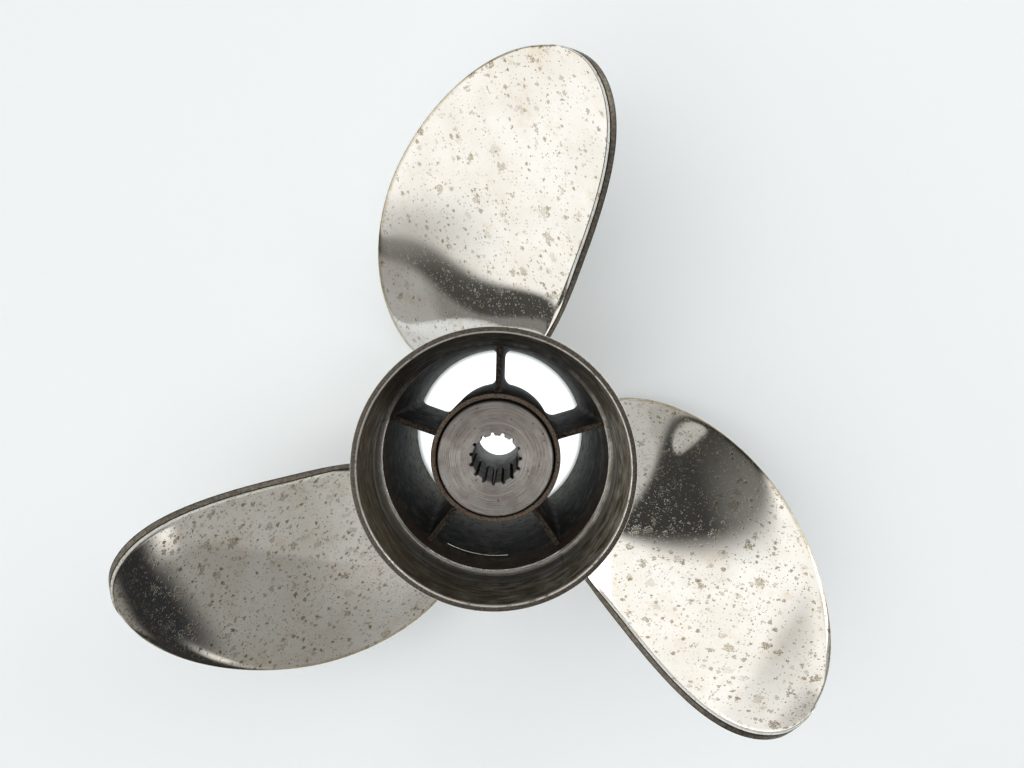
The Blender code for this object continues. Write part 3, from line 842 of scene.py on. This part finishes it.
def outlinePoint(turn):
    power = 2 / blade.exponent
    lengthwise, sideways = signedPower(math.cos(turn), power), signedPower(math.sin(turn), power)
    length = blade.halfLength * lengthwise
    swelling = 1 + blade.taper * lengthwise + blade.bulge * lengthwise ** 2
    width = blade.halfWidth * sideways * swelling + blade.bend * lengthwise ** 2
    lean = math.radians(blade.lean)
    return (blade.centreRadius + length * math.cos(lean) - width * math.sin(lean),
            blade.centreAlong + length * math.sin(lean) + width * math.cos(lean))


bladeOutline = [outlinePoint(math.tau * k / blade.outlineSteps) for k in range(blade.outlineSteps)]


def bladeEdges(radius):
    crossings = []
    for (radius1, along1), (radius2, along2) in zip(bladeOutline, bladeOutline[1:] + bladeOutline[:1]):
        if (radius1 - radius) * (radius2 - radius) < 0:
            crossings.append(blend(along1, along2, (radius - radius1) / (radius2 - radius1)))
    leading = max(crossings)
    if radius < blade.rootEaseRadius:
        share = (blade.rootEaseRadius - radius) / (blade.rootEaseRadius - barrel.frontRadius)
        leading -= blade.rootEase * share * share
    return leading, min(crossings)


def helixPoint(radius, along):
    lead = math.atan(blade.pitch / (math.tau * radius))
    angle = math.radians(blade.angle) + along * math.cos(lead) / radius
    reach = (radius - blade.rakeStart) / blade.rakeUnit
    rise = blade.rakeUnit * sum(term * reach ** (k + 1) for k, term in enumerate(blade.rake))
    return Vector((radius * math.cos(angle), radius * math.sin(angle),
                   blade.referenceHeight + rise + along * math.sin(lead)))


def outwardAt(radius, along):
    return helixPoint(radius + blade.probe, along) - helixPoint(radius - blade.probe, along)


def cuppedPoint(radius, along, trailing, cup):
    forward = helixPoint(radius, along + blade.probe) - helixPoint(radius, along - blade.probe)
    curl = max(0, 1 - (along - trailing) / blade.cupWidth)
    normal = outwardAt(radius, along).cross(forward).normalized()
    return helixPoint(radius, along) + normal * cup * curl * curl


def cuppedForward(radius, along, trailing, cup):
    return (cuppedPoint(radius, along + blade.probe, trailing, cup)
            - cuppedPoint(radius, along - blade.probe, trailing, cup))


def rootFillet(radius):
    size = blade.fillet
    depth = max(radius - barrel.rearRadius, 0)
    return 0 if depth >= size else size - math.sqrt(size ** 2 - (size - depth) ** 2)


def halfThickness(radius, share):
    reach = (radius - barrel.frontRadius) / (blade.tip - barrel.frontRadius)
    reach = min(max(reach, 0), 1) ** blade.thinning
    middle = blend(blade.rootThickness, blade.tipThickness, reach)
    edge = blend(blade.leading, blade.trailing, share)
    swell = (4 * share * (1 - share)) ** blade.swell
    fillet = rootFillet(radius) * min(1, blade.filletSwell * swell)
    return blend(edge, max(middle, edge), swell) / 2 + fillet


# the radius of each row: close rows in the root fillet, then wider ones that close up again at the tip
def rowRadius(share):
    filletTop = barrel.rearRadius + blade.fillet
    split = blade.filletRows
    if share < split:
        return blend(blade.rootStart, filletTop, (share / split) ** blade.filletCrowding)
    turn = (share - split) / (1 - split)
    return blend(filletTop, blade.tip - blade.tipFlat, math.sin(math.pi / 2 * turn))


# a rounded edge from one side of the section to the other, at the chord's start (0) or end (1)
def edgeStations(end, steps, power, depth):
    stations = []
    for k in range(1, steps):
        turn = math.pi * k / steps
        side = signedPower(math.cos(turn), power)
        stations.append((end, side if end else -side, depth * math.sin(turn) ** power))
    return stations


# Stations round a section: share of the chord, side (1 aft, -1 front), how far the rounded edge stands out.
def sectionStations():
    across = [(1 - math.cos(math.pi * k / blade.chordCuts)) / 2 for k in range(blade.chordCuts + 1)]
    stations = [(share, 1, 0) for share in across]
    stations += edgeStations(1, blade.trailingCuts, 2 / blade.trailingSquareness, -blade.trailingRound)
    stations += [(share, -1, 0) for share in across[::-1]]
    stations += edgeStations(0, blade.leadingCuts, 1, blade.leadingRound)
    return stations + [stations[0]]


# closes the root across the blade's thickness, so that it follows the round barrel
def closeRoot(bm, rootVerts, stations, columns):
    sides = {1: [], -1: []}
    for v in rootVerts:
        share, side, standOut = stations[columns[v]]
        if standOut == 0 and columns[v] < len(stations) - 1:
            sides[side].append((share, v))
    chains = [[v for share, v in sorted(sides[side], key=lambda item: item[0])] for side in (1, -1)]
    rootEdges = [bm.edges.get(chain[k:k + 2]) for chain in chains for k in range(len(chain) - 1)]
    bmesh.ops.bridge_loops(bm, edges=rootEdges)
    bmesh.ops.remove_doubles(bm, verts=bm.verts, dist=blade.merge)
    bmesh.ops.holes_fill(bm, edges=[e for e in bm.edges if len(e.link_faces) == 1], sides=0)
    bmesh.ops.recalc_face_normals(bm, faces=bm.faces)


def makeBlade(number):
    stations = sectionStations()
    bm = bmesh.new()
    bmesh.ops.create_grid(bm, x_segments=len(stations) - 1, y_segments=blade.spanCuts, size=0.5)
    # margins: mm to the trailing edge and to the leading edge, and a mask of the end face
    margins = bm.verts.layers.float_vector.new("margins")
    # sheet: place on the unrolled blade in mm, and how dirty it is
    sheet = bm.verts.layers.float_vector.new("sheet")
    rows, columns = {}, {}
    for v in bm.verts:
        rows.setdefault(round(v.co.y, 5), []).append(v)
        columns[v] = round((v.co.x + 0.5) * (len(stations) - 1))
    for y, verts in rows.items():
        radius = rowRadius(y + 0.5)
        leading, trailing = bladeEdges(radius)
        cup = blade.cupHeight * ease(radius, blade.cupStart, blade.cupFull)
        cup *= min(1, (leading - trailing) / blade.cupFullChord)
        trailing += blade.edgeInset
        leading -= blade.edgeInset
        tipShare = max(0, (radius - blade.tip + blade.tipRound) / (blade.tipRound - blade.tipFlat))
        tipThinning = math.sqrt(max(0, 1 - tipShare * tipShare))
        dirt = blade.dirt[number] + blade.tipDirt * ease(radius, blade.tipDirtStart, blade.tip)
        for v in verts:
            share, side, standOut = stations[columns[v]]
            along = blend(leading, trailing, share)
            forward = cuppedForward(radius, along, trailing, cup)
            normal = outwardAt(radius, along).cross(forward).normalized()
            half = halfThickness(radius, share) * tipThinning
            place = cuppedPoint(radius, along, trailing, cup) + normal * half * side
            place += forward.normalized() * standOut * tipThinning
            least = barrelBore(place.z) + blade.rootCover
            if place.xy.length < least:
                place.xy = place.xy.normalized() * least
            v.co = place * mm
            # the end face's mask drops towards its rims, where the dark reflection is painted
            onEndFace = share == 1 and abs(side) < blade.endFaceSide
            endFace = 1 - blade.endFaceRim * side ** 4 if onEndFace else 0
            v[margins] = (along - trailing, leading - along, endFace)
            unrolled = along if side > 0 else 2 * leading - along
            v[sheet] = (radius + number * blade.sheetWidth, unrolled, dirt)
    closeRoot(bm, rows[min(rows)], stations, columns)
    bmesh.ops.transform(bm, matrix=Matrix.Rotation(number * math.tau / blade.count, 4, "Z"), verts=bm.verts)
    node = f"blade_{number + 1}"
    return finishPiece(node + "_polished", bm, [bladeSteel], [node], blade.sharpAngle)


bladeSteel = makePolished("polished blade steel", bladeSheet)
hubSteel = makePolished("polished hub steel", hubSheet)
ringSteel = makeStained()
castSteel = makeCast()
turnedSteel = makeTurned()
blackRubber = makeRubber()
print("materials made")
makeBarrel()
makeCastLine()
makeRing()
makeInnerHub()
makeBushing()
makeSleeve()
for k in range(rib.count):
    makeRib(k)
print("hub made")
for k in range(blade.count):
    makeBlade(k)
print("blades made")


# stage: pale floor, soft studio light all round, and the camera

stage = Settings(floorSize=12, floorColour=(0.855, 0.895, 0.92), floorRoughness=0.7)

# The studio round the object, seen as a map whose middle is straight up and whose rim is the horizon.
# Each patch has its middle and half sizes on that map, a turn in degrees, its edge's softness, and its light.
# A softness below zero fills the map outside the patch instead.
studio = Settings(
    base=(0.50, 0.495, 0.47),
    backdrop=(0.80, 0.83, 0.86),
    patches=[
        ("paper low all round", (0, 0.03), (0.64, 0.90), 5, -0.18, (0.72, 0.72, 0.70)),
        ("low left surround", (-0.72, -0.64), (0.45, 0.26), -20, 0.2, (0.44, 0.43, 0.41)),
        ("left surround", (-0.68, -0.12), (0.47, 0.43), 0, 0.12, (0.26, 0.25, 0.235)),
        ("left shade", (-0.375, -0.19), (0.60, 0.42), -16, 0.04, (0.075, 0.073, 0.067)),
        ("left softbox", (-0.18, -0.09), (0.61, 0.485), 9.5, 0.03, (1.24, 1.225, 1.18)),
        ("left softbox lower end", (-0.22, -0.71), (0.06, 0.395), 52, 1.0, (0.41, 0.40, 0.38)),
        ("right surround", (0.585, -0.18), (0.675, 0.27), 2.5, 0.04, (0.375, 0.37, 0.35)),
        ("top paper", (0.01, 0.885), (0.495, 0.213), -7, 0.08, (0.625, 0.62, 0.60)),
        ("top shade", (0.02, 0.535), (0.42, 0.15), 0, 0.1, (0.05, 0.049, 0.045)),
        ("top shade low", (0, 0.295), (0.235, 0.087), -45.6, 0.65, (0.365, 0.355, 0.33)),
        ("top softbox", (0.332, 0.43), (0.40, 0.15), -1.8, 0.12, (1.3, 1.29, 1.25)),
        ("low shade", (-0.02, -0.60), (0.24, 0.24), 0, 0.15, (0.035, 0.036, 0.037)),
        ("overhead shade", (0.03, -0.117), (0.33, 0.335), 0, 0.08, (0.03, 0.031, 0.033)),
        ("tip glow", (-0.08, -0.44), (0.09, 0.05), 0, 0.4, (0.35, 0.345, 0.33)),
        ("overhead card", (-0.15, -0.07), (0.15, 0.05), 0, 0.3, (3.2, 3.14, 3.0)),
        ("low right glow", (0.68, -0.56), (0.165, 0.31), 0, 0.5, (0.62, 0.615, 0.6)),
        ("low left glow", (-0.585, -0.727), (0.317, 0.052), 0, 0.5, (0.47, 0.465, 0.45)),
    ],
    # place, size and power of each lamp; the overhead one isn't mirrored by the polished steel
    keyLight=((1.1, 0.7, 0.9), 0.7, 2.5),
    overheadLight=((-0.35, -0.1, 1.95), 2.6, 23),
    hubLight=((0, 0, 0.002), 0.098, 0.04),
)

photoView = Settings(
    place=(0.008, 0.0513, 0.4349), turn=(-0.05, 0.001, 0), sensorWidth=36, nearest=0.01,
    focalPixels=710, pictureWidth=1024,
)


def makeFloor():
    bm = bmesh.new()
    bmesh.ops.create_grid(bm, x_segments=1, y_segments=1, size=stage.floorSize / 2)
    material, tree, shader = newMaterial("pale floor")
    feed(tree, shader, {"Base Color": (*stage.floorColour, 1), "Roughness": stage.floorRoughness})
    floor = addMesh("floor", bm, [material])


def paintPatch(tree, place, below, patch):
    name, middle, halfSize, turn, softness, light = patch
    shifted = vectorCalc(tree, "SUBTRACT", place, (*middle, 0))
    turned = addNode(tree, "VectorRotate", {"Vector": shifted, "Angle": math.radians(-turn)},
                     rotation_type="Z_AXIS")
    reach = lengthOf(tree, vectorCalc(tree, "DIVIDE", turned, (*halfSize, 1)))
    return mix(tree, step(tree, reach, 1 + softness, 1 - softness), below, light)


def makeStudio():
    world = bpy.data.worlds.new("studio")
    world.use_nodes = True
    tree = world.node_tree
    direction = addNode(tree, "TexCoord", out="Generated")
    depth = calc(tree, "ADD", splitUp(tree, direction)[2], 1.0)
    place = vectorCalc(tree, "DIVIDE", vectorCalc(tree, "MULTIPLY", direction, (1, 1, 0)), depth)
    light = studio.base
    for patch in studio.patches:
        light = paintPatch(tree, place, light, patch)
    # the camera itself sees a plain backdrop
    seen = mix(tree, addNode(tree, "LightPath", out="Is Camera Ray"), light, studio.backdrop)
    tree.links.new(seen, tree.nodes["Background"].inputs["Color"])
    bpy.context.scene.world = world
    bpy.context.scene.view_settings.view_transform = "Standard"


# an area lamp that looks at the point where the shaft axis meets the floor
def addLamp(name, setting, shape="SQUARE"):
    place, size, power = setting
    data = bpy.data.lights.new(name, "AREA")
    data.shape = shape
    data.size = size
    data.energy = power
    lamp = addObject(name, data)
    lamp.location = place
    lamp.rotation_euler = (-Vector(place)).to_track_quat("-Z", "Y").to_euler()
    return lamp


def makeLamps():
    addLamp("key softbox", studio.keyLight)
    addLamp("overhead softbox", studio.overheadLight).visible_glossy = False
    addLamp("light on the floor inside the hub", studio.hubLight, "DISK")


def makeCamera():
    data = bpy.data.cameras.new("photo view")
    data.sensor_width = photoView.sensorWidth
    data.lens = photoView.sensorWidth * photoView.focalPixels / photoView.pictureWidth
    data.clip_start = photoView.nearest
    view = addObject("photo view", data)
    view.location = photoView.place
    view.rotation_euler = photoView.turn
    bpy.context.scene.camera = view


makeFloor()
makeStudio()
makeLamps()
makeCamera()
print("stage set")
